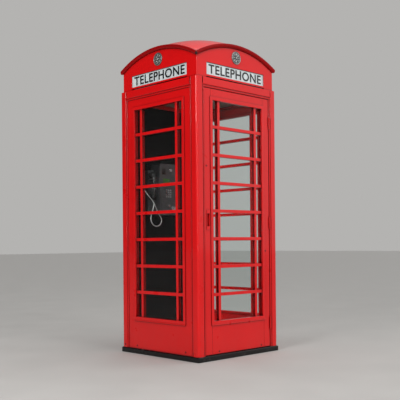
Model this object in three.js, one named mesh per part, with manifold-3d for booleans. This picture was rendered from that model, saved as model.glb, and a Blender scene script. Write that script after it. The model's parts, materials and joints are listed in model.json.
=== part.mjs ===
// A cast-iron street telephone kiosk with a glazed timber door and a wall payphone.
// Millimetres, +Z up, the door faces -Y, and the origin is the middle of the base on the ground.
import * as THREE from "three";
import { mergeVertices } from "three/addons/utils/BufferGeometryUtils.js";
import Module from "manifold-3d";

const wasm = await Module();
wasm.setup();

// ---------- Driving dimensions ----------

const fitGap = 0.3; // between pieces that touch
const lap = 1; // how far joined solids run into each other
const overshoot = 1; // how far a cutting solid runs past what it cuts

// The kiosk's plan and heights.
const bodyWidth = 900; // across two opposite faces
const plinthProjection = 5;
const plinthHeight = 40;
const plinthChamfer = 4;
const bodyTop = 2128; // top of the walls, where the fascia steps in
const headHeight = 75; // band over the door and windows
const topRailHeight = 86;
const kickHeight = 256; // from the plinth to the glazing
const floorHeight = 48;
const floorGap = 3.5; // from the posts' stops to the floor slab

// Corner posts and their moulded edge.
const postWidth = 78.6;
const cornerRadius = 20;
const castWall = 14;
const coveRadius = 7;
const beadRadius = 4.5;
const beadMargin = 1;
const coveToBead = 6.6;
const jambWall = 11;
const stopThickness = 8;
const stopReach = 18.4;
const headDepth = 50;

// Panels, windows and the door.
const panelSetBack = 8;
const panelWall = 12;
const backPanelWall = 10;
const panelGap = 2.9;
const stileWidth = 91.4; // from the frame's opening to the glass
const barWidth = 24;
const barFront = 12;
const barDepth = 12;
const marginPane = 60; // width of the narrow outer panes
const paneRows = 8;
const ringWidth = 26;
const ringFront = 2;
const ringSeat = 16; // how far the window casting goes into its panel
const glassThickness = 5;
const glassRebate = 10;
const retainerDepth = 10;
const sillHeight = 6.5;
const sillFront = -1;
const doorThickness = 45;
const doorStopGap = 0.5;
const hingeGap = 5.4;
const doorBottomGap = 5;

// Door hinges and pull.
const hingeHeight = 100;
const hingeCount = 3;
const hingeInset = 190; // from the door's ends to the outer hinges' middles
const barrelRadius = 5;
const barrelGap = 2; // from the barrel to the door's face
const pinRadius = 2.2;
const pinInset = 1; // from the barrel's ends to the pin's
const pinPlay = 0.4;
const knucklePlay = 0.5;
const leafPlay = 0.8;
const leafLength = 38;
const pullHeight = 1060;
const pullSize = [36, 150];
const pullCup = [24, 96];
const pullDepth = 18;
const pullWall = 2;
const pullPlate = 3.7;

// Roof.
const fasciaSetBack = 18;
const roofWall = 12;
const springHeight = 152.5; // from the walls' top to the arch's ends
const archRadius = 866; // underside of the cornice
const corniceHeight = 30;
const corniceDepth = 50;
const corniceFillet = 8;
const mitreLap = 0.02;
const domeSetDown = 5.2;
const domeSides = 48;
const corniceSides = 96;
const signMargin = 106.5;
const signBottom = 28;
const signHeight = 92.5;
const signRebate = 9.5;
const signGlassThickness = 5.4;
const ventMargin = 104;
const ventHeight = 12;
const badgeHeight = 201;
const badgeRadius = 44;
const badgeRelief = 4;

// Ceiling and lamp.
const ceilingThickness = 8;
const ceilingInset = 25;
const ceilingCut = 150;
const lampRadius = 130;
const lampDrop = 45;
const lampRim = 12;

// Payphone, in its own frame: x along the back wall, depth out from the board.
const boardMargin = 3; // from the board to the opening it fills
const boardThickness = 16;
const phoneLeft = -165;
const phoneRight = 36;
const phoneBottom = 1130;
const phoneTop = 1557;
const phoneDepth = 116;
const phoneCorner = 22;
const phoneWall = 3;
const frontThickness = 6;
const restWidth = 70;
const restTop = 1502;
const restDepth = 51;
const restCorner = 12;
const keySize = [16, 12];
const keyPitch = [23, 18.5];
const keyStand = 4;
const keyChamfer = 1;
const keyFlange = 2;
const keyFlangeThickness = 1.5;
const keyPlay = 0.5;
const keypadCentre = [-71, 1308];
const slotPlateCentre = [-120, 1489];
const slotPlateSize = [33, 49];
const slotPlateStand = 2;
const coinSlot = [3.2, 32];
const buttonCentre = [-42, 1506];
const buttonRadius = 12;
const displayCentre = [-89, 1415];
const displaySize = [80, 36];
const cashCentre = [-98, 1204];
const cashSize = [106, 116];
const cashThickness = 4;
const cashStand = 1;
const returnCentre = [-5, 1182];
const returnSize = [54, 40];
const returnDepth = 38;
const chuteWall = 2;
const flapThickness = 2;
const flapPin = 1.6;
const flapFootGap = 1.5;
const coinBoxGap = 2; // behind the front plate
const coinBoxMargin = 3; // inside the cash door's outline
const coinBoxDepth = 92;
const coinBoxWall = 2;

// Handset, hung in front of its rest.
const handsetGap = 2; // between the caps and the rest
const earHeight = 1457;
const mouthHeight = 1277;
const earRadius = 27;
const mouthRadius = 26;
const capDepth = 30;
const handleThickness = 30;
const handleBow = 16;
const handleWidth = 30;
const capEdge = 3;
const reliefInset = 13.6; // from the mouth cap's front to the strain relief's middle
const reliefLap = 4; // how far it runs into the cap
const reliefLength = 24;
const reliefRadii = [7, 5];
const forkPlate = 6;
const forkWidth = 46;
const forkTine = 4;
const forkTip = 10;
const forkNeckPlay = 1.5; // each side of the handle
const forkTail = 6; // behind the pivot
const forkPivotDepth = 20; // behind the rest's face
const restSlotPlay = 1; // each side of the fork
const restSlotDrop = 12; // below the pivot
const restSlotRise = 16; // above it
const restSlotTail = 12; // behind it

// Cord: the route's points are chosen by hand.
const cordDiameter = 7;
const cordSides = 8;
const cordSteps = 48;
const glandLength = 18;
const glandRadii = [10, 5.5];
const glandNut = 6;
const glandShoulder = 2.5;
const glandPlace = [-292, 1356];
const cordRoute = [
  [-292, 397.1, 1356],
  [-292, 382, 1355.2],
  [-290.5, 368, 1350],
  [-285, 356, 1335.5],
  [-275, 346, 1315],
  [-259, 334.5, 1287],
  [-241, 322.5, 1261],
  [-226, 312.5, 1236],
  [-213, 303, 1204],
  [-200, 295.5, 1167],
  [-184, 290, 1131],
  [-163.5, 288, 1106],
  [-155, 288, 1080],
  [-162.5, 290.5, 1053],
  [-181, 295, 1035.5],
  [-202, 301.5, 1031],
  [-225, 307.5, 1040],
  [-242, 313, 1062],
  [-247, 317, 1092],
  [-239, 321.5, 1123],
  [-225, 326, 1153],
  [-211, 329, 1183],
  [-202, 330.5, 1208],
  [-200.3, 331, 1226.7],
];

// ---------- Sizes that follow ----------

const bodyHalf = bodyWidth / 2;
const openingHalf = bodyHalf - postWidth;
const panelHalf = openingHalf - panelGap;
const headBottom = bodyTop - headHeight;
const panelTop = headBottom - panelGap;
const panelBottom = plinthHeight + fitGap;
const glazedHalf = openingHalf - stileWidth;
const glazingBottom = plinthHeight + kickHeight;
const glazingTop = panelTop - topRailHeight;
const seatHalf = glazedHalf + ringSeat;
const glassFront = barFront + barDepth;
const retainerFront = glassFront + glassThickness + 2 * fitGap;
const windowBack = retainerFront + retainerDepth + fitGap;
const doorBack = panelSetBack + doorThickness;
const stopFront = doorBack + doorStopGap;
const stopBack = stopFront + stopThickness;
const floorInset = stopBack + floorGap;
const fasciaHalf = bodyHalf - fasciaSetBack;
const corniceRadius = archRadius + corniceHeight;
const archCentre = bodyTop + springHeight - Math.sqrt(archRadius ** 2 - fasciaHalf ** 2);
const domeRadius = Math.hypot(corniceRadius - domeSetDown, fasciaHalf);
const backPanelInner = bodyHalf - panelSetBack - backPanelWall;
const boardFace = backPanelInner - fitGap - boardThickness;
const phoneBack = boardFace - fitGap;
const phoneFace = phoneBack - phoneDepth - frontThickness;
const plateBack = phoneFace + frontThickness;
const restLeft = phoneLeft - fitGap - restWidth;
const restFace = phoneBack - restDepth;
const handsetX = restLeft + restWidth / 2;
const capBack = restFace - handsetGap;
const capFront = capBack - capDepth;
const handleBack = capFront - handleThickness / 2;

// ---------- Materials ----------

function finish(color, roughness, metalness) {
  return new THREE.MeshStandardMaterial({ color, roughness, metalness });
}

const redPaint = finish(0xd01a1c, 0.32, 0.05);
const blackPaint = finish(0x0c0c0d, 0.3, 0.05);
const concrete = finish(0x6d6a66, 0.9, 0);
const clearGlass = finish(0xdfe8e6, 0.05, 0);
const opalGlass = finish(0xdfe3e4, 0.3, 0);
const creamPaint = finish(0xd8d2c0, 0.5, 0);
const boardPaint = finish(0x1b1b1d, 0.6, 0.1);
const greySteel = finish(0x5a5b5e, 0.42, 0.7);
const brightSteel = finish(0xb9bcc0, 0.25, 1);
const blackPlastic = finish(0x0d0d0e, 0.35, 0);
const displayGlass = finish(0x24401c, 0.15, 0);

// ---------- Solids ----------

function solidOf(geometry) {
  const bare = geometry.clone();
  bare.deleteAttribute("normal");
  bare.deleteAttribute("uv");
  const merged = mergeVertices(bare, 1e-4);
  const vertProperties = merged.attributes.position.array;
  const triVerts = new Uint32Array(merged.index.array);
  return new wasm.Manifold(new wasm.Mesh({ numProp: 3, vertProperties, triVerts }));
}

function geometryOf(solid) {
  const mesh = solid.getMesh();
  const indexed = new THREE.BufferGeometry();
  indexed.setAttribute("position", new THREE.BufferAttribute(mesh.vertProperties, 3));
  indexed.setIndex(new THREE.BufferAttribute(mesh.triVerts, 1));
  const flat = indexed.toNonIndexed();
  flat.computeVertexNormals();
  return flat;
}

function join(...solids) {
  return solids.reduce((whole, piece) => whole.add(piece));
}

function cut(solid, ...tools) {
  return tools.reduce((rest, tool) => rest.subtract(tool), solid);
}

function block([x0, x1], [y0, y1], [z0, z1]) {
  const box = new THREE.BoxGeometry(x1 - x0, y1 - y0, z1 - z0);
  return solidOf(box.translate((x0 + x1) / 2, (y0 + y1) / 2, (z0 + z1) / 2));
}

function shapeOf(points) {
  return new THREE.Shape(points.map(([x, y]) => new THREE.Vector2(x, y)));
}

function rectangle(x0, x1, y0, y1) {
  return [[x0, y0], [x1, y0], [x1, y1], [x0, y1]];
}

// A rectangle with its upper corners rounded.
function archedRectangle(x0, x1, y0, y1, radius) {
  const shape = new THREE.Shape();
  shape.moveTo(x0, y0);
  shape.lineTo(x1, y0);
  shape.lineTo(x1, y1 - radius);
  shape.absarc(x1 - radius, y1 - radius, radius, 0, Math.PI / 2, false);
  shape.lineTo(x0 + radius, y1);
  shape.absarc(x0 + radius, y1 - radius, radius, Math.PI / 2, Math.PI, false);
  return shape;
}

// A plan outline, in x and y, raised from z0 to z1.
function upright(shape, z0, z1) {
  const geometry = new THREE.ExtrudeGeometry(shape, { depth: z1 - z0, bevelEnabled: false });
  return solidOf(geometry.translate(0, 0, z0));
}

// An elevation outline, in x and z, given thickness from y0 back to y1.
function slab(shape, y0, y1) {
  const options = { depth: y1 - y0, bevelEnabled: false, curveSegments: 4 };
  const geometry = new THREE.ExtrudeGeometry(shape, options);
  return solidOf(geometry.rotateX(Math.PI / 2).translate(0, y1, 0));
}

// A section outline, in y and z, run along x from x0 to x1.
function run(points, x0, x1) {
  const geometry = new THREE.ExtrudeGeometry(shapeOf(points), { depth: x1 - x0, bevelEnabled: false });
  return solidOf(geometry.rotateX(Math.PI / 2).rotateZ(Math.PI / 2).translate(x0, 0, 0));
}

// A turned piece about the y axis through (x, z): radii against places along y.
function turned(points, x, z, segments) {
  const profile = points.map(([radius, y]) => new THREE.Vector2(radius, y));
  return solidOf(new THREE.LatheGeometry(profile, segments).translate(x, 0, z));
}

function rod(radius, x, y, z0, z1, segments = 16) {
  const geometry = new THREE.CylinderGeometry(radius, radius, z1 - z0, segments);
  return solidOf(geometry.rotateX(Math.PI / 2).translate(x, y, (z0 + z1) / 2));
}

function crossRod(radius, y, z, x0, x1) {
  const geometry = new THREE.CylinderGeometry(radius, radius, x1 - x0, 12);
  return solidOf(geometry.rotateZ(Math.PI / 2).translate((x0 + x1) / 2, y, z));
}

// Depth d behind the front face's plane, as a place along y.
const atDepth = (d) => d - bodyHalf;

// Turns a piece made on the front to another face: 1 right, 2 back, 3 left.
function onFace(solid, face) {
  const turn = new THREE.Matrix4().makeRotationZ((face * Math.PI) / 2);
  return solid.transform(turn.elements);
}

const kiosk = new THREE.Group();

function place(name, solid, material) {
  const mesh = new THREE.Mesh(geometryOf(solid), material);
  mesh.name = name;
  kiosk.add(mesh);
}

// ---------- Base ----------

function makePlinth() {
  const outer = bodyHalf + plinthProjection;
  const inner = bodyHalf - floorInset;
  const upper = outer - plinthChamfer;
  const shell = block([-outer, outer], [-outer, outer], [0, plinthHeight - plinthChamfer]);
  const top = block([-upper, upper], [-upper, upper], [0, plinthHeight]);
  const well = block([-inner, inner], [-inner, inner], [-overshoot, plinthHeight + overshoot]);
  return cut(join(shell, top), well);
}

function makeFloor() {
  const half = bodyHalf - floorInset - fitGap;
  return block([-half, half], [-half, half], [0, floorHeight]);
}

// ---------- Wall castings ----------

const beadCentre = beadMargin + beadRadius;
const coveFoot = beadCentre + beadRadius + coveToBead;
const mouldingReach = coveFoot + coveRadius;

// The moulded edge round every opening, as [distance from the opening, depth], outermost first.
function edgeMoulding() {
  const points = [];
  for (let i = 0; i <= 4; i += 1) {
    const angle = (i * Math.PI) / 8;
    const reach = coveFoot + coveRadius * (1 - Math.sin(angle));
    points.push([reach, coveRadius * (1 - Math.cos(angle))]);
  }
  for (let i = 0; i <= 8; i += 1) {
    const angle = (i * Math.PI) / 8;
    const reach = beadCentre + beadRadius * Math.cos(angle);
    points.push([reach, coveRadius - beadRadius * Math.sin(angle)]);
  }
  points.push([0, coveRadius]);
  return points;
}

// One post's section, measured from the kiosk's corner; the two faces mirror each other.
function postOutline() {
  const jambBack = postWidth - jambWall;
  const lip = postWidth + stopReach;
  const arm = edgeMoulding().map(([reach, depth]) => [postWidth - reach, depth]);
  arm.push([postWidth, stopFront], [lip, stopFront], [lip, stopBack]);
  arm.push([jambBack, stopBack], [jambBack, castWall]);
  const corner = [];
  for (let i = 0; i <= 4; i += 1) {
    const angle = (i * Math.PI) / 8;
    const x = cornerRadius * (1 - Math.sin(angle));
    const y = cornerRadius * (1 - Math.cos(angle));
    corner.push([x, y]);
  }
  const mirrored = arm.map(([a, b]) => [b, a]);
  return [...mirrored.reverse(), ...corner.reverse(), ...arm, [castWall, castWall]];
}

function makePost() {
  const outline = postOutline().map(([a, b]) => [a - bodyHalf, b - bodyHalf]);
  return upright(shapeOf(outline), panelBottom, bodyTop);
}

// The band over an opening: an angle section with the same moulded edge.
function makeHead(half, withStop) {
  const points = [[atDepth(castWall), bodyTop], [atDepth(0), bodyTop]];
  for (const [reach, inset] of edgeMoulding()) points.push([atDepth(inset), headBottom + reach]);
  if (withStop) {
    points.push([atDepth(stopFront), headBottom], [atDepth(stopFront), headBottom - stopReach]);
    points.push([atDepth(stopBack), headBottom - stopReach], [atDepth(stopBack), headBottom + castWall]);
  } else {
    points.push([atDepth(headDepth), headBottom], [atDepth(headDepth), headBottom + castWall]);
  }
  points.push([atDepth(castWall), headBottom + castWall]);
  return run(points, -half, half);
}

// Where a head's moulding turns down its left post: the wedge above the mitre.
function makeMitreWedge() {
  const high = headBottom + mouldingReach;
  const outline = [[-openingHalf, headBottom], [-openingHalf, high], [-openingHalf - mouldingReach, high]];
  return slab(shapeOf(outline), atDepth(-overshoot), atDepth(coveRadius + lap));
}

function makeMitredMoulding() {
  const back = atDepth(coveRadius + lap);
  const points = edgeMoulding().map(([reach, inset]) => [atDepth(inset), headBottom + reach]);
  points.push([back, headBottom], [back, headBottom + mouldingReach]);
  return run(points, -openingHalf - mouldingReach, -openingHalf).intersect(makeMitreWedge());
}

// The front's left post, its mouldings mitred to the heads on both its faces.
function makeMitredPost() {
  const swap = new THREE.Matrix4().set(0, 1, 0, 0, 1, 0, 0, 0, 0, 0, 1, 0, 0, 0, 0, 1);
  const wedge = makeMitreWedge();
  const moulding = makeMitredMoulding();
  const post = cut(makePost(), wedge, wedge.transform(swap.elements));
  return join(post, moulding, moulding.transform(swap.elements));
}

// Two posts and their head, as one portal.
function makePortal() {
  const post = makeMitredPost();
  return join(post, onFace(post, 1), makeHead(openingHalf + jambWall, true));
}

// A side wall: flat panel with its window aperture, and the head over it.
function makeSideFrame() {
  const shape = shapeOf(rectangle(-panelHalf, panelHalf, panelBottom, panelTop));
  shape.holes.push(shapeOf(windowRectangle(ringSeat)));
  const panel = slab(shape, atDepth(panelSetBack), atDepth(panelSetBack + panelWall));
  const head = makeHead(openingHalf - fitGap, false);
  const web = [panelTop - castWall, headBottom + castWall / 2];
  const depths = [atDepth(panelSetBack + panelWall / 2), atDepth(panelSetBack + panelWall)];
  return join(panel, head, block([-panelHalf, panelHalf], depths, web));
}

// The closed rear wall, with the windows' raised ring cast on it.
function makeBackPanel() {
  const shape = shapeOf(rectangle(-panelHalf, panelHalf, panelBottom, panelTop));
  const plate = slab(shape, atDepth(panelSetBack), atDepth(panelSetBack + backPanelWall));
  const ring = shapeOf(windowRectangle(ringWidth));
  ring.holes.push(shapeOf(windowRectangle(0)));
  return join(plate, slab(ring, atDepth(ringFront), atDepth(panelSetBack + lap)));
}

// ---------- Windows ----------

// The glazed rectangle, grown by a margin.
function windowRectangle(margin) {
  const half = glazedHalf + margin;
  return rectangle(-half, half, glazingBottom - margin, glazingTop + margin);
}

// The pane openings, three to a row with narrow outer ones.
function paneOpenings(y0, y1) {
  const pitch = (glazingTop - glazingBottom + barWidth) / paneRows;
  const middle = glazedHalf - marginPane - barWidth;
  const columns = [[-glazedHalf, -middle - barWidth], [-middle, middle], [middle + barWidth, glazedHalf]];
  const panes = [];
  for (let row = 0; row < paneRows; row += 1) {
    const z0 = glazingBottom + row * pitch;
    for (const column of columns) panes.push(block(column, [y0, y1], [z0, z0 + pitch - barWidth]));
  }
  return panes;
}

function frameSlab(outerMargin, innerMargin, front, back) {
  const shape = shapeOf(windowRectangle(outerMargin));
  shape.holes.push(shapeOf(windowRectangle(innerMargin)));
  return slab(shape, atDepth(front), atDepth(back));
}

// A grown glazed rectangle with the pane openings cut through it.
function makeLattice(margin, front, back) {
  const [[x0, z0], , [x1, z1]] = windowRectangle(margin);
  const whole = block([x0, x1], [atDepth(front), atDepth(back)], [z0, z1]);
  return cut(whole, ...paneOpenings(atDepth(front - overshoot), atDepth(back + overshoot)));
}

function makeWindowBars() {
  const panelFace = panelSetBack - fitGap;
  const seat = ringSeat - fitGap;
  const flange = frameSlab(ringWidth, 0, ringFront, panelFace);
  const body = frameSlab(seat, 0, panelFace - lap, glassFront);
  const skirt = frameSlab(seat, glassRebate, glassFront, windowBack);
  const bars = makeLattice(lap, barFront, glassFront);
  const sillHalf = glazedHalf + ringWidth;
  const sillTop = glazingBottom - ringWidth + lap;
  const sillDepths = [atDepth(sillFront), atDepth(panelFace)];
  const sill = block([-sillHalf, sillHalf], sillDepths, [sillTop - sillHeight, sillTop]);
  return join(flange, body, skirt, bars, sill);
}

function makeGlass() {
  const shape = shapeOf(windowRectangle(glassRebate - fitGap));
  return slab(shape, atDepth(glassFront + fitGap), atDepth(glassFront + fitGap + glassThickness));
}

function makeRetainer() {
  return makeLattice(glassRebate - fitGap, retainerFront, retainerFront + retainerDepth);
}

// ---------- Door ----------

const doorLatchEdge = -panelHalf;
const doorHingeEdge = openingHalf - hingeGap;
const doorBottom = plinthHeight + doorBottomGap;
const doorDepths = [atDepth(panelSetBack), atDepth(doorBack)];
const pullCentreX = -(panelHalf + seatHalf) / 2;

function makeHingeStile() {
  return block([seatHalf + fitGap, doorHingeEdge], doorDepths, [doorBottom, panelTop]);
}

function makeLatchStile() {
  const stile = block([doorLatchEdge, -seatHalf - fitGap], doorDepths, [doorBottom, panelTop]);
  const half = pullCup[0] / 2 + pullWall + fitGap;
  const tall = pullCup[1] / 2 + pullWall + fitGap;
  const back = panelSetBack + pullDepth + pullWall + fitGap;
  const depths = [atDepth(panelSetBack - overshoot), atDepth(back)];
  const pocket = block(
    [pullCentreX - half, pullCentreX + half],
    depths,
    [pullHeight - tall, pullHeight + tall],
  );
  return cut(stile, pocket);
}

function makeRail(z0, z1) {
  return block([-seatHalf, seatHalf], doorDepths, [z0, z1]);
}

// A flush pull: a face plate with a cup let into the stile.
function makePull() {
  const box = (size, wall, front, back) => {
    const half = size[0] / 2 + wall;
    const tall = size[1] / 2 + wall;
    const across = [pullCentreX - half, pullCentreX + half];
    return block(across, [atDepth(front), atDepth(back)], [pullHeight - tall, pullHeight + tall]);
  };
  const plateBackDepth = panelSetBack - fitGap;
  const plate = box(pullSize, 0, plateBackDepth - pullPlate, plateBackDepth);
  const cup = box(pullCup, pullWall, plateBackDepth - lap, panelSetBack + pullDepth + pullWall);
  const hollow = box(pullCup, 0, 0, panelSetBack + pullDepth);
  return cut(join(plate, cup), hollow);
}

const hingeAxis = [openingHalf - hingeGap / 2, atDepth(panelSetBack - barrelRadius - barrelGap)];

function hingeMiddles() {
  const low = doorBottom + hingeInset;
  const high = panelTop - hingeInset;
  return [...Array(hingeCount).keys()].map((i) => low + ((high - low) * i) / (hingeCount - 1));
}

// The fixed half carries the pin and the outer knuckles; the door's half has the middle one.
function makeHinge(middle) {
  const [x, y] = hingeAxis;
  const [bottom, top] = [middle - hingeHeight / 2, middle + hingeHeight / 2];
  const third = hingeHeight / 3;
  const leaf = (hingeGap - leafPlay) / 2 - fitGap;
  const back = y + barrelRadius + leafLength;
  const clear = y + barrelRadius + knucklePlay;
  const across = [x - barrelRadius - overshoot, x + barrelRadius + overshoot];
  const near = [y - barrelRadius - overshoot, clear];
  const fixedSide = openingHalf - fitGap;
  const movingSide = doorHingeEdge + fitGap;
  const fixedPlate = block([fixedSide - leaf, fixedSide], [y, back], [bottom, top]);
  const movingPlate = block([movingSide, movingSide + leaf], [y, back], [bottom, top]);
  const middleBand = block(across, near, [bottom + third, top - third]);
  const lowBand = block(across, near, [bottom - overshoot, bottom + third + knucklePlay]);
  const highBand = block(across, near, [top - third - knucklePlay, top + overshoot]);
  const barrel = rod(barrelRadius, x, y, bottom, top);
  const pin = rod(pinRadius, x, y, bottom + pinInset, top - pinInset);
  const fixed = join(cut(join(fixedPlate, barrel), middleBand), pin);
  const bore = rod(pinRadius + pinPlay, x, y, bottom - overshoot, top + overshoot);
  return { fixed, moving: cut(join(movingPlate, barrel), lowBand, highBand, bore) };
}

// ---------- Roof ----------

const roofBottom = bodyTop + fitGap;

// A spherical cap on the arches' common centre, closed down to the walls' top.
function makeCap(radius, bottom) {
  const points = [];
  const steps = 9;
  const spread = Math.asin((bodyHalf * Math.SQRT2) / radius);
  for (let i = 0; i <= steps; i += 1) {
    const angle = (spread * i) / steps;
    points.push(new THREE.Vector2(radius * Math.sin(angle), archCentre + radius * Math.cos(angle)));
  }
  points.push(new THREE.Vector2(radius * Math.sin(spread), bottom), new THREE.Vector2(0, bottom));
  const cap = new THREE.LatheGeometry(points.reverse(), domeSides);
  return solidOf(cap.rotateX(Math.PI / 2));
}

// One face's cornice: a coved ring about the arch's centre, mitred to its neighbours.
function makeCornice() {
  const coveTop = corniceRadius - corniceFillet;
  const profile = [[archRadius, atDepth(corniceDepth)], [archRadius, atDepth(fasciaSetBack)]];
  for (let i = 1; i <= 3; i += 1) {
    const angle = (i * Math.PI) / 6;
    const reach = (coveTop - archRadius) * (1 - Math.cos(angle));
    profile.push([archRadius + reach, atDepth(fasciaSetBack * (1 - Math.sin(angle)))]);
  }
  profile.push([corniceRadius, atDepth(0)], [corniceRadius, atDepth(corniceDepth)], profile[0]);
  const ring = turned(profile, 0, archCentre, corniceSides);
  const reach = bodyHalf + overshoot;
  const mitre = shapeOf([[0, mitreLap], [-reach - mitreLap, -reach], [reach + mitreLap, -reach]]);
  return ring.intersect(upright(mitre, bodyTop, archCentre + corniceRadius + overshoot));
}

function signBox(margin, front, back) {
  const half = fasciaHalf - signMargin + margin;
  const low = bodyTop + signBottom - margin;
  const high = bodyTop + signBottom + signHeight + margin;
  return block([-half, half], [atDepth(front), atDepth(back)], [low, high]);
}

// What one face of the roof adds and takes away.
function roofFaceCuts() {
  const front = fasciaSetBack - overshoot;
  const back = fasciaSetBack + roofWall + overshoot;
  const through = signBox(0, front, back);
  const rebate = signBox(signRebate, fasciaSetBack + roofWall / 2, back);
  const half = fasciaHalf - ventMargin;
  const heights = [roofBottom - overshoot, roofBottom + ventHeight];
  return join(through, rebate, block([-half, half], [atDepth(front), atDepth(back)], heights));
}

function makeBadge() {
  const face = fasciaSetBack - badgeRelief;
  const rim = badgeRadius - badgeRelief;
  const root = atDepth(fasciaSetBack + lap);
  const profile = [[0, root], [badgeRadius, root]];
  profile.push([badgeRadius, atDepth(fasciaSetBack)], [rim, atDepth(face)], [0, atDepth(face)]);
  return turned(profile.reverse(), 0, bodyTop + badgeHeight, 24);
}

function makeRoof() {
  const tall = archCentre + domeRadius + overshoot;
  const inner = fasciaHalf - roofWall;
  const hull = makeCap(domeRadius, bodyTop - overshoot).intersect(
    block([-fasciaHalf, fasciaHalf], [-fasciaHalf, fasciaHalf], [roofBottom, tall]),
  );
  const hollow = makeCap(domeRadius - roofWall, bodyTop - 2 * overshoot).intersect(
    block([-inner, inner], [-inner, inner], [bodyTop - overshoot, tall]),
  );
  let roof = hull;
  for (let face = 0; face < 4; face += 1) {
    roof = join(roof, onFace(makeCornice(), face), onFace(makeBadge(), face));
  }
  roof = cut(roof, hollow);
  for (let face = 0; face < 4; face += 1) roof = cut(roof, onFace(roofFaceCuts(), face));
  return roof;
}

function makeSignGlass() {
  const front = fasciaSetBack + roofWall / 2 + fitGap;
  return signBox(signRebate - fitGap, front, front + signGlassThickness);
}

// ---------- Ceiling and lamp ----------

const ceilingBottom = headBottom + castWall + fitGap;

function makeCeiling() {
  const far = bodyHalf - ceilingInset;
  const near = bodyHalf - ceilingCut;
  const outline = [[far, near], [near, far], [-near, far], [-far, near]];
  outline.push([-far, -near], [-near, -far], [near, -far], [far, -near]);
  return upright(shapeOf(outline), ceilingBottom, ceilingBottom + ceilingThickness);
}

// A round bulkhead light with a shallow opal face.
function makeLamp() {
  const top = ceilingBottom - fitGap;
  const points = [new THREE.Vector2(0, top - lampDrop)];
  for (let i = 1; i <= 5; i += 1) {
    const angle = (i * Math.PI) / 10;
    const height = top - lampRim - (lampDrop - lampRim) * Math.cos(angle);
    points.push(new THREE.Vector2(lampRadius * Math.sin(angle), height));
  }
  points.push(new THREE.Vector2(lampRadius, top), new THREE.Vector2(0, top));
  return solidOf(new THREE.LatheGeometry(points, 24).rotateX(Math.PI / 2));
}

// ---------- Payphone ----------

function makeBoard() {
  const half = openingHalf - boardMargin;
  const depths = [boardFace, boardFace + boardThickness];
  return block([-half, half], depths, [plinthHeight + boardMargin, headBottom - boardMargin]);
}

function phoneOutline(inset) {
  const corner = phoneCorner - inset;
  const [left, right] = [phoneLeft + inset, phoneRight - inset];
  return archedRectangle(left, right, phoneBottom + inset, phoneTop - inset, corner);
}

function makeHousing() {
  const shell = slab(phoneOutline(0), plateBack + fitGap, phoneBack);
  return cut(shell, slab(phoneOutline(phoneWall), plateBack, phoneBack - phoneWall));
}

// A block about a centre on the phone's front, between two depths along y.
function onPhone([x, z], [width, height], y0, y1) {
  return block([x - width / 2, x + width / 2], [y0, y1], [z - height / 2, z + height / 2]);
}

const grown = ([width, height], margin) => [width + 2 * margin, height + 2 * margin];

function keyCentres() {
  const centres = [];
  for (let row = 0; row < 4; row += 1) {
    for (let column = 0; column < 3; column += 1) {
      const x = keypadCentre[0] + (column - 1) * keyPitch[0];
      centres.push([x, keypadCentre[1] + (1.5 - row) * keyPitch[1]]);
    }
  }
  return centres;
}

function makeFrontPlate() {
  const plate = slab(phoneOutline(0), phoneFace, plateBack);
  const chuteDepths = [plateBack - lap, plateBack + returnDepth];
  const chute = onPhone(returnCentre, grown(returnSize, chuteWall), ...chuteDepths);
  const through = [phoneFace - overshoot, plateBack + overshoot];
  const holes = keyCentres().map((centre) => onPhone(centre, grown(keySize, keyPlay), ...through));
  holes.push(onPhone(slotPlateCentre, grown(slotPlateSize, fitGap), ...through));
  holes.push(onPhone(displayCentre, grown(displaySize, fitGap), ...through));
  holes.push(onPhone(cashCentre, grown(cashSize, fitGap * 2), ...through));
  const hollowDepths = [phoneFace - overshoot, plateBack + returnDepth - chuteWall];
  holes.push(onPhone(returnCentre, returnSize, ...hollowDepths));
  const [x, z] = buttonCentre;
  const bore = buttonRadius + keyPlay;
  holes.push(turned([[0, through[0]], [bore, through[0]], [bore, through[1]], [0, through[1]]], x, z, 24));
  return cut(join(plate, chute), ...holes);
}

function makeKey(centre) {
  const crown = phoneFace - keyStand;
  const cap = onPhone(centre, keySize, crown + keyChamfer, plateBack + 2 * fitGap);
  const top = onPhone(centre, grown(keySize, -keyChamfer), crown, plateBack);
  const flangeDepths = [plateBack + fitGap, plateBack + fitGap + keyFlangeThickness];
  return join(cap, top, onPhone(centre, grown(keySize, keyFlange), ...flangeDepths));
}

function makeButton() {
  const crown = phoneFace - keyStand;
  const flange = buttonRadius + keyFlange;
  const front = plateBack + fitGap;
  const back = front + keyFlangeThickness;
  const profile = [[0, back], [flange, back], [flange, front]];
  profile.push([buttonRadius, front], [buttonRadius, crown + keyChamfer]);
  profile.push([buttonRadius - keyChamfer, crown], [0, crown]);
  return turned(profile.reverse(), ...buttonCentre, 24);
}

function makeSlotPlate() {
  const face = phoneFace - slotPlateStand;
  const plate = onPhone(slotPlateCentre, slotPlateSize, face, plateBack - fitGap);
  return cut(plate, onPhone(slotPlateCentre, coinSlot, face - overshoot, plateBack));
}

function makeDisplay() {
  return onPhone(displayCentre, displaySize, phoneFace + frontThickness / 2, plateBack - fitGap);
}

function makeCashDoor() {
  const face = phoneFace - cashStand;
  return onPhone(cashCentre, cashSize, face, face + cashThickness);
}

function makeCoinBox() {
  const front = plateBack + coinBoxGap;
  const size = grown(cashSize, -coinBoxMargin);
  const tin = onPhone(cashCentre, size, front, front + coinBoxDepth);
  const [x, z] = cashCentre;
  const mouth = [z - size[1] / 2 + coinBoxWall, z + size[1] / 2 + overshoot];
  const half = size[0] / 2 - coinBoxWall;
  const depths = [front + coinBoxWall, front + coinBoxDepth - coinBoxWall];
  return cut(tin, block([x - half, x + half], depths, mouth));
}

const flapY = phoneFace + frontThickness / 2;
const flapZ = returnCentre[1] + returnSize[1] / 2 - flapPin - 2 * fitGap;

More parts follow.
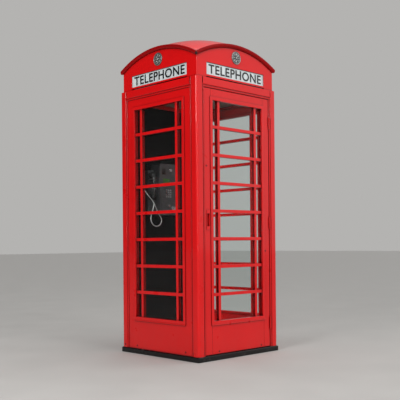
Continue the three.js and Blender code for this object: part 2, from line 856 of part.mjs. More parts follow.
function makeFlap() {
  const half = returnSize[0] / 2 - 2 * fitGap;
  const [x, z] = returnCentre;
  const foot = z - returnSize[1] / 2 + flapFootGap;
  const depths = [flapY - flapThickness / 2, flapY + flapThickness / 2];
  const leaf = block([x - half, x + half], depths, [foot, flapZ]);
  return join(leaf, crossRod(flapPin, flapY, flapZ, x - half, x + half));
}

function makeRest() {
  const shape = archedRectangle(restLeft, restLeft + restWidth, phoneBottom, restTop, restCorner);
  const half = forkWidth / 2 + restSlotPlay;
  const across = [handsetX - half, handsetX + half];
  const depths = [restFace - overshoot, restFace + forkPivotDepth + restSlotTail];
  const z = forkTop - forkPlate / 2;
  return cut(slab(shape, restFace, phoneBack), block(across, depths, [z - restSlotDrop, z + restSlotRise]));
}

const forkTop = earHeight - earRadius - fitGap;
const forkFront = handleBack - forkTine - overshoot;
const forkPivot = [restFace + forkPivotDepth, forkTop - forkPlate / 2];

// The switch hook: a plate under the ear cap, with an upturned tine each side of the handle.
function makeFork() {
  const half = forkWidth / 2;
  const neck = handleWidth / 2 + forkNeckPlay;
  const [y, z] = forkPivot;
  const depths = [forkFront, y + forkTail];
  const plate = block([handsetX - half, handsetX + half], depths, [forkTop - forkPlate, forkTop]);
  const tip = [forkFront, forkFront + forkTine];
  const tines = block([handsetX - half, handsetX + half], tip, [forkTop - lap, forkTop + forkTip]);
  const notch = [forkFront - overshoot, capFront + handleThickness / 3];
  const heights = [forkTop - forkPlate - overshoot, forkTop + forkTip + overshoot];
  const throat = block([handsetX - neck, handsetX + neck], notch, heights);
  const pivot = crossRod(forkPlate / 2 + lap, y, z, handsetX - half, handsetX + half);
  return join(cut(join(plate, tines), throat), pivot);
}

// ---------- Handset and cord ----------

function capSolid(radius, z) {
  const rim = radius - capEdge;
  const profile = [[0, handleBack], [rim, handleBack], [radius, handleBack + capEdge]];
  profile.push([radius, capBack - capEdge], [rim, capBack], [0, capBack]);
  return turned(profile, handsetX, z, 24);
}

// One bowed handle between two round caps, with the cord's strain relief below.
function makeHandset() {
  const [low, high] = [mouthHeight, earHeight];
  const middle = (low + high) / 2;
  const reach = (high - low) / 2;
  const bow = (z, offset) => handleBack - handleBow * (1 - ((z - middle) / reach) ** 2) + offset;
  const outer = [];
  const inner = [];
  for (let i = 0; i <= 8; i += 1) {
    const z = low + ((high - low) * i) / 8;
    outer.push([bow(z, 0), z]);
    inner.push([bow(z, handleThickness), z]);
  }
  const handle = run([...outer, ...inner.reverse()], handsetX - handleWidth / 2, handsetX + handleWidth / 2);
  const foot = low - mouthRadius;
  const relief = new THREE.CylinderGeometry(...reliefRadii, reliefLength + reliefLap, 16);
  relief.rotateX(Math.PI / 2);
  relief.translate(handsetX, handleBack + reliefInset, foot - (reliefLength - reliefLap) / 2);
  return join(capSolid(earRadius, high), capSolid(mouthRadius, low), handle, solidOf(relief));
}

function makeGland() {
  const [x, z] = glandPlace;
  const nut = phoneBack - glandNut;
  const tip = phoneBack - glandLength;
  const profile = [[0, phoneBack], [glandRadii[0], phoneBack], [glandRadii[0], nut]];
  profile.push([glandRadii[0] - glandShoulder, nut], [glandRadii[1], tip], [0, tip]);
  return turned(profile.reverse(), x, z, 16);
}

function makeCord() {
  const curve = new THREE.CatmullRomCurve3(cordRoute.map((point) => new THREE.Vector3(...point)));
  const section = new THREE.Shape();
  const radius = cordDiameter / 2;
  for (let i = 0; i < cordSides; i += 1) {
    const angle = (i * 2 * Math.PI) / cordSides;
    const move = i === 0 ? "moveTo" : "lineTo";
    section[move](radius * Math.cos(angle), radius * Math.sin(angle));
  }
  return solidOf(new THREE.ExtrudeGeometry(section, { steps: cordSteps, extrudePath: curve }));
}

// ---------- Assembly ----------

place("base_plinth", makePlinth(), blackPaint);
place("floor_slab", makeFloor(), concrete);
place("door_frame", makePortal(), redPaint);
place("back_frame", onFace(makePortal(), 2), redPaint);
place("back_panel", onFace(makeBackPanel(), 2), redPaint);
for (const [side, face] of [["left", 3], ["right", 1]]) {
  place(`side_frame_${side}`, onFace(makeSideFrame(), face), redPaint);
  place(`window_bars_${side}`, onFace(makeWindowBars(), face), redPaint);
  place(`window_glass_${side}`, onFace(makeGlass(), face), clearGlass);
  place(`glass_retainer_${side}`, onFace(makeRetainer(), face), redPaint);
}

place("roof_casting", makeRoof(), redPaint);
for (const [face, side] of ["front", "right", "back", "left"].entries()) {
  place(`sign_glass_${side}`, onFace(makeSignGlass(), face), opalGlass);
}
place("ceiling_panel", makeCeiling(), creamPaint);
place("ceiling_lamp", makeLamp(), opalGlass);

place("door_hinge_stile", makeHingeStile(), redPaint);
place("door_latch_stile", makeLatchStile(), redPaint);
place("door_top_rail", makeRail(glazingTop + ringSeat, panelTop), redPaint);
place("door_kick_panel", makeRail(doorBottom, glazingBottom - ringSeat), redPaint);
place("door_bars", makeWindowBars(), redPaint);
place("door_glass", makeGlass(), clearGlass);
place("door_retainer", makeRetainer(), redPaint);
place("door_pull", makePull(), redPaint);
for (const [i, middle] of hingeMiddles().entries()) {
  const hinge = makeHinge(middle);
  place(`frame_hinge_${i + 1}`, hinge.fixed, redPaint);
  place(`door_hinge_${i + 1}`, hinge.moving, redPaint);
}

place("backboard", makeBoard(), boardPaint);
place("phone_housing", makeHousing(), greySteel);
place("phone_front_plate", makeFrontPlate(), greySteel);
place("handset_rest", makeRest(), greySteel);
place("hook_lever", makeFork(), brightSteel);
place("coin_slot_plate", makeSlotPlate(), brightSteel);
place("display_window", makeDisplay(), displayGlass);
place("release_button", makeButton(), brightSteel);
place("cash_door", makeCashDoor(), greySteel);
place("coin_box", makeCoinBox(), greySteel);
place("coin_return_flap", makeFlap(), brightSteel);
for (const [i, centre] of keyCentres().entries()) place(`key_${i + 1}`, makeKey(centre), brightSteel);
place("handset", makeHandset(), blackPlastic);
place("cord_gland", makeGland(), brightSteel);
place("handset_cord", makeCord(), brightSteel);

export default kiosk;
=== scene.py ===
import json
import math

import bmesh
import bpy
from mathutils import Matrix, Vector
from mathutils.geometry import interpolate_bezier

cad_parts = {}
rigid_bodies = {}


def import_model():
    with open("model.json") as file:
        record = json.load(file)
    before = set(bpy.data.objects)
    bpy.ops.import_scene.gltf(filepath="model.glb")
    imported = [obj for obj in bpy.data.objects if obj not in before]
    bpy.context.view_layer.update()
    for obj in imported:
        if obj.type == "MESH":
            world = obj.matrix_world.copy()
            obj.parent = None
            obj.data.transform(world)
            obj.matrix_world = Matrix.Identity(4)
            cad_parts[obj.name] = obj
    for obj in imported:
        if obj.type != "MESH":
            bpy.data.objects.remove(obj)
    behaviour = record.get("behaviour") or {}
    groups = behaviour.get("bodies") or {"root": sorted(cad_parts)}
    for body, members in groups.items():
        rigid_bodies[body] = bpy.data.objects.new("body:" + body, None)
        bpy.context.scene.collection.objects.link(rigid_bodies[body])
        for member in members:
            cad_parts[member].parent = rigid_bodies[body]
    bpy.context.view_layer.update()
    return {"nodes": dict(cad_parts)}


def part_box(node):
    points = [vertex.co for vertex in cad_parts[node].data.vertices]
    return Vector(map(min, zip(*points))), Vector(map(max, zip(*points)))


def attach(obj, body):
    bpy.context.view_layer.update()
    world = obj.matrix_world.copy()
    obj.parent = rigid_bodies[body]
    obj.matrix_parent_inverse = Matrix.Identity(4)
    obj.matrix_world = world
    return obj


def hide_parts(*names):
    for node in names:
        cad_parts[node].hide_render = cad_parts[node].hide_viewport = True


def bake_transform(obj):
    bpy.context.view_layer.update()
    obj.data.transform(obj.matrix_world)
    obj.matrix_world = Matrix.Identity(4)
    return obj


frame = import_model()
sceneNow = bpy.context.scene

# The camera stands low, square to the corner between the door and the left window.
cameraSet = {
    "place": (-4.217, -4.342, 0.882),
    "yaw": -44.16,
    "roll": 0.5,
    "lens": 66.13,
    "shift": (0.0023, 0.1092),
}
cameraData = bpy.data.cameras.new("camera")
cameraData.lens = cameraSet["lens"]
cameraData.shift_x, cameraData.shift_y = cameraSet["shift"]
camera = bpy.data.objects.new("camera", cameraData)
camera.location = cameraSet["place"]
camera.rotation_euler = [math.radians(a) for a in (90, cameraSet["roll"], cameraSet["yaw"])]
sceneNow.collection.objects.link(camera)
sceneNow.camera = camera
sceneNow.view_settings.view_transform = "Standard"
print("camera placed")


def toLinear(colour):
    # an sRGB hex value as the linear colour that a socket takes
    parts = [int(colour[i:i + 2], 16) / 255 for i in (1, 3, 5)]
    return [c / 12.92 if c <= 0.04045 else ((c + 0.055) / 1.055) ** 2.4 for c in parts] + [1]


def addNode(tree, kind, settings=None):
    # settings holds the node's properties and sockets; a node or a socket among them is linked
    node = tree.nodes.new(kind)
    for key, value in (settings or {}).items():
        source = value.outputs[0] if isinstance(value, bpy.types.Node) else value
        if isinstance(source, bpy.types.NodeSocket):
            tree.links.new(source, node.inputs[key])
        elif isinstance(key, int) or key in node.inputs:
            node.inputs[key].default_value = value
        else:
            setattr(node, key, value)
    return node


def startMaterial(name):
    material = bpy.data.materials.new(name)
    material.use_nodes = True
    tree = material.node_tree
    tree.nodes.clear()
    return material, tree, addNode(tree, "ShaderNodeTexCoord").outputs["Object"]


def finishMaterial(material, settings):
    shader = addNode(material.node_tree, "ShaderNodeBsdfPrincipled", settings)
    addNode(material.node_tree, "ShaderNodeOutputMaterial", {"Surface": shader})
    return material


def patches(tree, place, width, detail, low, high, start=0.0, end=1.0):
    # soft patches, their width in millimetres; noise from low to high gives start to end
    cloud = addNode(tree, "ShaderNodeTexNoise", {"Vector": place, "Scale": 1000 / width, "Detail": detail})
    span = {"From Min": low, "From Max": high, "To Min": start, "To Max": end}
    return addNode(tree, "ShaderNodeMapRange", {"Value": cloud, **span})


def grain(tree, place, width, detail, strength, depth, under=None):
    # a raised grain, its width and depth in millimetres, laid over another one if there is one
    cloud = addNode(tree, "ShaderNodeTexNoise", {"Vector": place, "Scale": 1000 / width, "Detail": detail})
    relief = {"Height": cloud, "Strength": strength, "Distance": depth / 1000}
    if under:
        relief["Normal"] = under
    return addNode(tree, "ShaderNodeBump", relief)


def shadeInHollows(tree, reach):
    # painted shade in corners and hollows, as far out of them as reach, in millimetres
    hollow = addNode(tree, "ShaderNodeAmbientOcclusion", {"samples": 6, "Distance": reach / 1000})
    span = {"From Min": 0.42, "From Max": 0.97, "To Min": 1, "To Max": 0}
    return addNode(tree, "ShaderNodeMapRange", {"Value": hollow.outputs["AO"], **span})


def layColours(tree, ground, *layers):
    # each layer is where it shows and its colour, laid over the ones before it
    # a colour Mix node takes its share at socket 0, its colours at 6 and 7, and gives the result at 2
    colour = toLinear(ground)
    for share, over in layers:
        mix = {"data_type": "RGBA", 0: share, 6: colour, 7: toLinear(over)}
        colour = addNode(tree, "ShaderNodeMix", mix).outputs[2]
    return colour


def ventShadowBand(tree, place, shadeAtVents):
    # painted shade: the same near-black band on all four walls, over a height, and no further aside than half
    # a vent
    east, north, height = addNode(tree, "ShaderNodeSeparateXYZ", {0: place}).outputs
    eastward = addNode(tree, "ShaderNodeMath", {"operation": "ABSOLUTE", 0: east})
    northward = addNode(tree, "ShaderNodeMath", {"operation": "ABSOLUTE", 0: north})
    across = addNode(tree, "ShaderNodeMath", {"operation": "MINIMUM", 0: eastward, 1: northward})
    top, half = shadeAtVents["top"], shadeAtVents["half"]
    rising = {"Value": height, "From Min": top, "From Max": top + shadeAtVents["fadeUp"], "To Min": 1, "To Max": 0}
    edge = half + shadeAtVents["fadeAside"]
    aside = {"Value": across, "From Min": half, "From Max": edge, "To Min": 1, "To Max": 0}
    over = addNode(tree, "ShaderNodeMapRange", rising)
    within = addNode(tree, "ShaderNodeMapRange", aside)
    return addNode(tree, "ShaderNodeMath", {"operation": "MULTIPLY", 0: over, 1: within})


def paintRed(name, brushing, reach, depth, clean="#cb080b", worn="#d40b0e", sheen=1.0, shadeAtVents=None):
    # gloss enamel, brushed on: deep red, a soft sheen, painted shade in the corners and a few chips
    material, tree, place = startMaterial(name)
    height = addNode(tree, "ShaderNodeSeparateXYZ", {0: place}).outputs[2]
    faded = patches(tree, place, 340, 4, 0.3, 0.72)
    low = {"Value": height, "From Min": 0.04, "From Max": 0.3, "To Min": 0.14, "To Max": 0}
    nearGround = addNode(tree, "ShaderNodeMapRange", low)
    specks = patches(tree, place, 50, 7, 0.35, 0.8)
    splash = addNode(tree, "ShaderNodeMath", {"operation": "MULTIPLY", 0: nearGround, 1: specks})
    # painted shade: near black in corners and hollows, stronger or weaker in patches
    thickness = addNode(tree, "ShaderNodeMapRange", {"Value": faded, "To Min": depth, "To Max": depth + 0.1})
    corners = shadeInHollows(tree, reach)
    paintedShade = addNode(tree, "ShaderNodeMath", {"operation": "MULTIPLY", 0: corners, 1: thickness})
    chips = patches(tree, place, 8, 2, 0.775, 0.79)
    layers = [(faded, worn), (splash, "#b04a43"), (paintedShade, "#150203"), (chips, "#4a0a0b")]
    # painted shade, near black, along the vents
    if shadeAtVents:
        layers.append((ventShadowBand(tree, place, shadeAtVents), "#0a0202"))
    waves = grain(tree, place, 60, 2, 0.1, 0.8)
    alongBrush = addNode(tree, "ShaderNodeMapping", {"Scale": brushing, "Vector": place})
    return finishMaterial(material, {
        "Base Color": layColours(tree, clean, *layers),
        "Roughness": patches(tree, place, 120, 5, 0.3, 0.75, 0.27, 0.35),
        "Normal": grain(tree, alongBrush, 3.5, 2, 0.1, 0.5, waves),
        "Coat Weight": 0.34 * sheen, "Coat Roughness": 0.05, "Specular IOR Level": 0.2 * sheen,
    })


def paintBitumen():
    # bitumen paint on iron: near black, glossy where clean, with pale dust on it
    material, tree, place = startMaterial("black bitumen paint")
    fine = patches(tree, place, 30, 6, 0.48, 0.75)
    broad = patches(tree, place, 300, 3, 0.35, 0.7, 0.05, 0.3)
    dust = addNode(tree, "ShaderNodeMath", {"operation": "MULTIPLY", 0: fine, 1: broad})
    dulled = {"Value": dust, "From Min": 0, "From Max": 0.5, "To Min": 0.2, "To Max": 0.6}
    return finishMaterial(material, {
        "Base Color": layColours(tree, "#060607", (dust, "#4d4944")),
        "Roughness": addNode(tree, "ShaderNodeMapRange", dulled),
        "Normal": grain(tree, place, 12, 4, 0.3, 1),
        "Coat Weight": 0.1, "Specular IOR Level": 0.3,
    })


def castConcrete():
    # trowelled concrete: grey, gritty, stained where rain and shoes come in
    material, tree, place = startMaterial("trowelled concrete")
    stain = patches(tree, place, 180, 6, 0.35, 0.7)
    grit = patches(tree, place, 4, 2, 0.6, 0.7)
    darkGrit = addNode(tree, "ShaderNodeMath", {"operation": "MULTIPLY", 0: grit, 1: stain})
    return finishMaterial(material, {
        "Base Color": layColours(tree, "#5a5752", (stain, "#817d75"), (darkGrit, "#3a3835")),
        "Roughness": addNode(tree, "ShaderNodeMapRange", {"Value": stain, "To Min": 0.6, "To Max": 0.92}),
        "Normal": grain(tree, place, 6, 5, 0.5, 1),
    })


def windowGlass():
    # clear panes, a little wavy, with a trace of grime; lamps shine through them
    # the index is under float glass (1.52), so the panes mirror less and the dark inside reads
    material, tree, place = startMaterial("float glass")
    pane = addNode(tree, "ShaderNodeBsdfPrincipled", {
        "Base Color": toLinear("#f3f7f6"), "Transmission Weight": 1.0, "IOR": 1.16,
        "Roughness": patches(tree, place, 90, 5, 0.45, 0.8, 0.0, 0.035),
        "Normal": grain(tree, place, 250, 1, 0.05, 2),
    })
    through = addNode(tree, "ShaderNodeBsdfTransparent")
    fromLamps = addNode(tree, "ShaderNodeLightPath").outputs["Is Shadow Ray"]
    mixed = addNode(tree, "ShaderNodeMixShader", {0: fromLamps, 1: pane, 2: through})
    addNode(tree, "ShaderNodeOutputMaterial", {"Surface": mixed})
    return material


def opalAcrylic(name, glow, shadeFromHeight):
    # opal acrylic: milky, smooth, lit a little from inside, streaked, with painted shade along its upper edge
    material, tree, place = startMaterial(name)
    upright = addNode(tree, "ShaderNodeMapping", {"Scale": (1, 1, 0.12), "Vector": place})
    streaks = patches(tree, upright, 20, 4, 0.35, 0.75)
    height = addNode(tree, "ShaderNodeSeparateXYZ", {0: place}).outputs[2]
    # painted shade, near black, along the upper edge: from a height upward
    fullShadeHeight = shadeFromHeight + 0.003
    rising = {"Value": height, "From Min": shadeFromHeight, "From Max": fullShadeHeight, "To Min": 0, "To Max": 0.92}
    edgeShade = addNode(tree, "ShaderNodeMapRange", rising)
    return finishMaterial(material, {
        "Base Color": layColours(tree, "#ccd3d4", (streaks, "#a6aeb0"), (edgeShade, "#0b0c0c")),
        "Roughness": 0.22, "Normal": grain(tree, place, 80, 2, 0.06, 1), "Coat Weight": 0.2,
        "Emission Color": toLinear("#e4eef0"), "Emission Strength": glow,
    })


def plainPaint(name, first, second, roughness, patch, grit, sheen=None):
    # sprayed or stoved paint: two near tones, a varying sheen, a fine grain and painted shade in its hollows
    material, tree, place = startMaterial(name)
    share = patches(tree, place, patch, 5, 0.35, 0.7)
    varied = {"Value": share, "To Min": roughness - 0.07, "To Max": roughness + 0.09}
    return finishMaterial(material, {
        "Base Color": layColours(tree, first, (share, second), (shadeInHollows(tree, 10), "#080707")),
        "Roughness": addNode(tree, "ShaderNodeMapRange", varied),
        "Normal": grain(tree, place, grit, 3, 0.2, 0.4),
        **(sheen or {}),
    })


def brushedSteel(name, first, second, roughness):
    # brushed stainless steel: fine lines along x, smudged by hands, with painted shade in its hollows
    material, tree, place = startMaterial(name)
    alongLines = addNode(tree, "ShaderNodeMapping", {"Scale": (0.04, 1, 1), "Vector": place})
    # 1.8 mm is coarser than real brushing, so that the lines show
    lines = addNode(tree, "ShaderNodeTexNoise", {"Vector": alongLines, "Scale": 1000 / 1.8, "Detail": 2})
    tone = addNode(tree, "ShaderNodeMapRange", {"Value": lines, "From Min": 0.3, "From Max": 0.7})
    smudges = patches(tree, place, 35, 5, 0.4, 0.7)
    dulled = {"Value": smudges, "To Min": roughness, "To Max": roughness + 0.16}
    return finishMaterial(material, {
        "Base Color": layColours(tree, first, (tone, second), (shadeInHollows(tree, 6), "#0d0d0e")),
        "Roughness": addNode(tree, "ShaderNodeMapRange", dulled),
        "Normal": addNode(tree, "ShaderNodeBump", {"Height": lines, "Strength": 0.12, "Distance": 0.0003}),
        "Metallic": 1.0, "Anisotropic": 0.4,
    })


def displayGlass():
    # liquid-crystal window: dark green cells in rows behind a gloss cover
    material, tree, place = startMaterial("liquid-crystal glass")
    # the cells are about 1.9 mm, coarser than real ones, so that they show
    rows = {"distance": "CHEBYCHEV", "Vector": place, "Scale": 520.0, "Randomness": 0.0}
    cells = addNode(tree, "ShaderNodeTexVoronoi", rows).outputs["Distance"]
    grid = addNode(tree, "ShaderNodeMapRange", {"Value": cells, "From Min": 0.3, "From Max": 0.48})
    return finishMaterial(material, {
        "Base Color": layColours(tree, "#35572b", (grid, "#182b13")),
        "Roughness": 0.12, "Coat Weight": 1.0, "Coat Roughness": 0.03,
        "Emission Color": toLinear("#3f7a35"), "Emission Strength": 0.1,
    })


def agedSilver():
    # silver paint on cast metal: grey highlights, with painted shade nearly black in the hollows
    material, tree, place = startMaterial("aged silver paint")
    tarnish = patches(tree, place, 12, 5, 0.38, 0.66)
    return finishMaterial(material, {
        "Base Color": layColours(tree, "#a9aba9", (tarnish, "#7a7c7b"), (shadeInHollows(tree, 9), "#111211")),
        "Roughness": addNode(tree, "ShaderNodeMapRange", {"Value": tarnish, "To Min": 0.3, "To Max": 0.55}),
        "Normal": grain(tree, place, 4, 3, 0.3, 0.5),
        "Metallic": 0.85,
    })


# Brush marks run along the piece: (1, 1, 0.08) draws them out up a stile, (1, 1, 1) leaves them short.
# After the brush marks come how far painted shade reaches out of hollows, in millimetres, and how strong it
# is.
redIron = paintRed("red enamel on cast iron", (1, 1, 0.35), 20, 0.8)
redTimber = paintRed("red enamel on teak", (1, 1, 0.08), 20, 0.8)
redBars = paintRed("red enamel on glazing bars", (1, 1, 0.08), 30, 0.85)
# The cornice takes a darker copy of the red, as painted shade under the eaves.
corniceShadedRed = paintRed("sooty red enamel under the eaves", (1, 1, 1), 30, 0.85, "#86060a", "#96080b", 0.3)
bitumen = paintBitumen()
concrete = castConcrete()
clearGlass = windowGlass()
# The last figure is the height from which painted shade darkens the acrylic upward.
opalSign = opalAcrylic("opal sign acrylic", 0.06, 2.2425)
opalLamp = opalAcrylic("opal lamp cover", 0.3, 2.064)
letterBlack = plainPaint("black vinyl lettering", "#0a0a0b", "#141416", 0.36, 30, 2)
# The ceiling's cream is painted darker than it is, as painted shade.
shadedCream = plainPaint("aged cream paint", "#8f8878", "#7b7463", 0.5, 150, 6)
dullBlack = {"Specular IOR Level": 0.12}
boardEnamel = plainPaint("stoved black enamel", "#060607", "#0b0b0c", 0.62, 120, 2, dullBlack)
housingSteel = brushedSteel("dark brushed stainless steel", "#4c4d4f", "#6b6c6e", 0.34)
satinSteel = brushedSteel("satin stainless steel", "#a6a8ab", "#c7c9cb", 0.24)
cordArmour = brushedSteel("stainless cord armour", "#d2d4d6", "#eceeef", 0.32)
chrome = brushedSteel("polished chrome", "#d9dbdd", "#e8eaec", 0.06)
blackAbs = plainPaint("moulded black ABS", "#0a0a0b", "#121213", 0.3, 50, 1.5, {"Coat Weight": 0.15})
ironBlack = plainPaint("blackened iron", "#0b0909", "#150f0f", 0.6, 10, 1, {"Specular IOR Level": 0.3})
lcd = displayGlass()
silver = agedSilver()
# Painted shade along the vents in the dome: its top, half its width, and how far it fades up and aside.
ventShadowZone = {"top": 2.1412, "half": 0.326, "fadeUp": 0.002, "fadeAside": 0.004}
redShadedAtVents = paintRed("red enamel sooted over the vents", (1, 1, 0.35), 20, 0.8, sheen=0.9, shadeAtVents=ventShadowZone)
print("materials made")


def cadBody(node):
    return frame["nodes"][node].parent.name.split(":")[1]


def finishPiece(name, bm, materials, body, replaced=(), smooth=38, settle=True):
    if settle:
        bmesh.ops.remove_doubles(bm, verts=bm.verts, dist=1e-5)
        bmesh.ops.recalc_face_normals(bm, faces=bm.faces)
    mesh = bpy.data.meshes.new(name)
    bm.to_mesh(mesh)
    bm.free()
    mesh.shade_smooth()
    mesh.set_sharp_from_angle(angle=math.radians(smooth))
    for material in materials:
        mesh.materials.append(material)
    piece = bpy.data.objects.new(name, mesh)
    sceneNow.collection.objects.link(piece)
    piece.modifiers.new("even normals", "WEIGHTED_NORMAL").keep_sharp = True
    if body:
        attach(piece, body)
    if replaced:
        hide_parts(*replaced)
    return piece


def easeEdges(bm, edges, width):
    bmesh.ops.bevel(bm, geom=edges, offset=width, offset_type="OFFSET", segments=2, profile=0.5,
                    affect="EDGES", clamp_overlap=True, material=-1)


def addTurned(bm, points, origin, steps=32, axis=(0, 1, 0)):
    # points are (radius, place along the axis), turned about the axis through origin
    line = Vector(axis)
    side = Vector((1, 0, 0)) if abs(line.x) < 0.5 else Vector((0, 0, 1))
    verts = [bm.verts.new(Vector(origin) + side * r + line * h) for r, h in points]
    edges = [bm.edges.new(pair) for pair in zip(verts, verts[1:])]
    bmesh.ops.spin(bm, geom=verts + edges, cent=origin, axis=axis, angle=math.tau,
                   steps=steps, use_merge=True, use_duplicate=False)
    bmesh.ops.remove_doubles(bm, verts=bm.verts, dist=1e-6)


def addTube(bm, points, radii, sides, shape=(1, 1)):
    # one ring of the tube at each point, square to the line, bridged to the last
    rings = []
    side = None
    for i, point in enumerate(points):
        ahead = (points[min(i + 1, len(points) - 1)] - points[max(i - 1, 0)]).normalized()
        if side is None:
            side = ahead.cross(Vector((0, 0, 1)))
            if side.length < 0.05:  # an upright start
                side = ahead.cross(Vector((0, 1, 0)))
        else:
            side = side - ahead * side.dot(ahead)
        side.normalize()
        turn = Matrix((side, ahead.cross(side), ahead)).transposed().to_4x4()
        place = Matrix.Translation(point) @ turn @ Matrix.Diagonal((*shape, 1, 1))
        ends = i in (0, len(points) - 1)
        circle = bmesh.ops.create_circle(bm, cap_ends=ends, segments=sides, radius=radii[i], matrix=place)
        rings.append(list({e for v in circle["verts"] for e in v.link_edges}))
    for first, second in zip(rings, rings[1:]):
        bmesh.ops.bridge_loops(bm, edges=first + second)


lettering = {"spacing": 1.08, "weight": 0.022}


def textMesh(bm, text, place, size, depth, materialIndex=0):
    # upright capitals or figures, fitted to a width and a height, facing -y before place turns them
    curve = bpy.data.curves.new("letters", "FONT")
    curve.body = text
    curve.align_x, curve.align_y = "CENTER", "CENTER"
    curve.extrude = 0.5
    curve.space_character = lettering["spacing"]
    curve.offset = lettering["weight"]
    holder = bpy.data.objects.new("letters", curve)
    mesh = bpy.data.meshes.new_from_object(holder)
    bpy.data.objects.remove(holder)
    letters = bmesh.new()
    letters.from_mesh(mesh)
    low = Vector([min(v.co[i] for v in letters.verts) for i in range(3)])
    high = Vector([max(v.co[i] for v in letters.verts) for i in range(3)])
    bmesh.ops.translate(letters, verts=letters.verts, vec=-(low + high) / 2)
    width = size[0] or size[1] * (high.x - low.x) / (high.y - low.y)
    fit = Matrix.Diagonal((width / (high.x - low.x), size[1] / (high.y - low.y), depth, 1))
    upright = Matrix.Rotation(math.pi / 2, 4, "X")
    bmesh.ops.transform(letters, matrix=place @ upright @ fit, verts=letters.verts)
    bmesh.ops.remove_doubles(letters, verts=letters.verts, dist=1e-6)
    for face in letters.faces:
        face.material_index = materialIndex
    letters.to_mesh(mesh)
    letters.free()
    bm.from_mesh(mesh)


def castingCopy(node, edge):
    # the frame's own solid with its arrises eased, as a foundry or a joiner leaves them
    bm = bmesh.new()
    bm.from_mesh(frame["nodes"][node].data)
    bmesh.ops.remove_doubles(bm, verts=bm.verts, dist=3e-5)
    bmesh.ops.dissolve_limit(bm, angle_limit=math.radians(0.6), verts=bm.verts, edges=bm.edges)
    sharp = [e for e in bm.edges if len(e.link_faces) == 2 and e.calc_face_angle(0) > math.radians(32)]
    easeEdges(bm, sharp, edge)
    return bm


def easedPiece(node, material, edge):
    bm = castingCopy(node, edge)
    finishPiece(node + "_finished", bm, [material], cadBody(node), [node], settle=False)


def coverNode(node, material):
    # a piece that stays as the frame has it gets its finish only
    frame["nodes"][node].data.materials.clear()
    frame["nodes"][node].data.materials.append(material)


def quarterTurn(face):
    return Matrix.Rotation(math.radians(90 * face), 4, "Z")


faceNames = ["front", "right", "back", "left"]

# The route's points, in metres: from the gland, down past the payphone, round its loop and up to the handset.
cord = {"diameter": 0.007, "rib": 0.0022, "ribDepth": 0.0005, "sides": 10}
cordRoute = [Vector(p) for p in (
    (-0.292, 0.3971, 1.356), (-0.292, 0.382, 1.3552), (-0.2905, 0.368, 1.35), (-0.285, 0.356, 1.3355),
    (-0.275, 0.346, 1.315), (-0.259, 0.3345, 1.287), (-0.241, 0.3225, 1.261), (-0.226, 0.3125, 1.236),
    (-0.213, 0.303, 1.204), (-0.2, 0.2955, 1.167), (-0.184, 0.29, 1.131), (-0.1635, 0.288, 1.106),
    (-0.155, 0.288, 1.08), (-0.1625, 0.2905, 1.053), (-0.181, 0.295, 1.0355), (-0.202, 0.3015, 1.031),
    (-0.225, 0.3075, 1.04), (-0.242, 0.313, 1.062), (-0.247, 0.317, 1.092), (-0.239, 0.3215, 1.123),
    (-0.225, 0.326, 1.153), (-0.211, 0.329, 1.183), (-0.202, 0.3305, 1.208), (-0.2003, 0.331, 1.2267),
)]


def smoothLine(route, step):
    ends = [route[0] * 2 - route[1], *route, route[-1] * 2 - route[-2]]
    line = []
    for before, start, end, after in zip(ends, ends[1:], ends[2:], ends[3:]):
        count = max(2, round((end - start).length / step) + 1)
        leaving, arriving = start + (end - before) / 6, end - (after - start) / 6
        line += interpolate_bezier(start, leaving, arriving, end, count)[:-1]
    return line + [route[-1]]


def makeCord():
    line = smoothLine(cordRoute, cord["rib"] / 2)
    outer = cord["diameter"] / 2
    radii = [outer - cord["ribDepth"] * (i % 2) for i in range(len(line))]
    bm = bmesh.new()
    addTube(bm, line, radii, cord["sides"])
    piece = finishPiece("armoured_cord", bm, [cordArmour], None, ["handset_cord"], smooth=60)
    piece.modifiers.clear()
    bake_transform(piece)


# A hexagonal nut and a tapered sleeve, where the cord leaves the board.
gland = {
    "nutRadius": 0.010, "nutDepth": 0.006, "nutEase": 0.0008,
    "sleeve": (0.0075, 0.0052), "length": 0.018, "shoulder": 0.008, "step": 0.0006, "chamfer": 0.001,
}


def makeGland():
    low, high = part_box("cord_gland")
    origin = Vector(((low.x + high.x) / 2, high.y, (low.z + high.z) / 2))
    bm = bmesh.new()
    middle = origin - Vector((0, gland["nutDepth"] / 2, 0))
    nutPlace = Matrix.Translation(middle) @ Matrix.Rotation(math.pi / 2, 4, "X")
    nut = bmesh.ops.create_cone(bm, cap_ends=True, segments=6, radius1=gland["nutRadius"],
                                radius2=gland["nutRadius"], depth=gland["nutDepth"], matrix=nutPlace)["verts"]
    easeEdges(bm, list({e for v in nut for e in v.link_edges}), gland["nutEase"])
    thick, thin = gland["sleeve"]
    shoulder, step, chamfer = gland["shoulder"], gland["step"], gland["chamfer"]
    tip = -gland["length"]
    profile = [(0, 0), (thick, 0), (thick, -shoulder), (thick - step, -shoulder - chamfer),
               (thin + step, tip + chamfer), (thin, tip), (0, tip)]
    addTurned(bm, profile, origin, 28)
    return finishPiece("cord_gland_nut", bm, [chrome], "booth", ["cord_gland"])


glandPiece = makeGland()
makeCord()
print("cord and gland made")

# How far each kind of piece has its arrises eased.
easing = {"casting": 0.002, "bar": 0.0018, "timber": 0.0025, "steel": 0.0007, "fine": 0.0004}


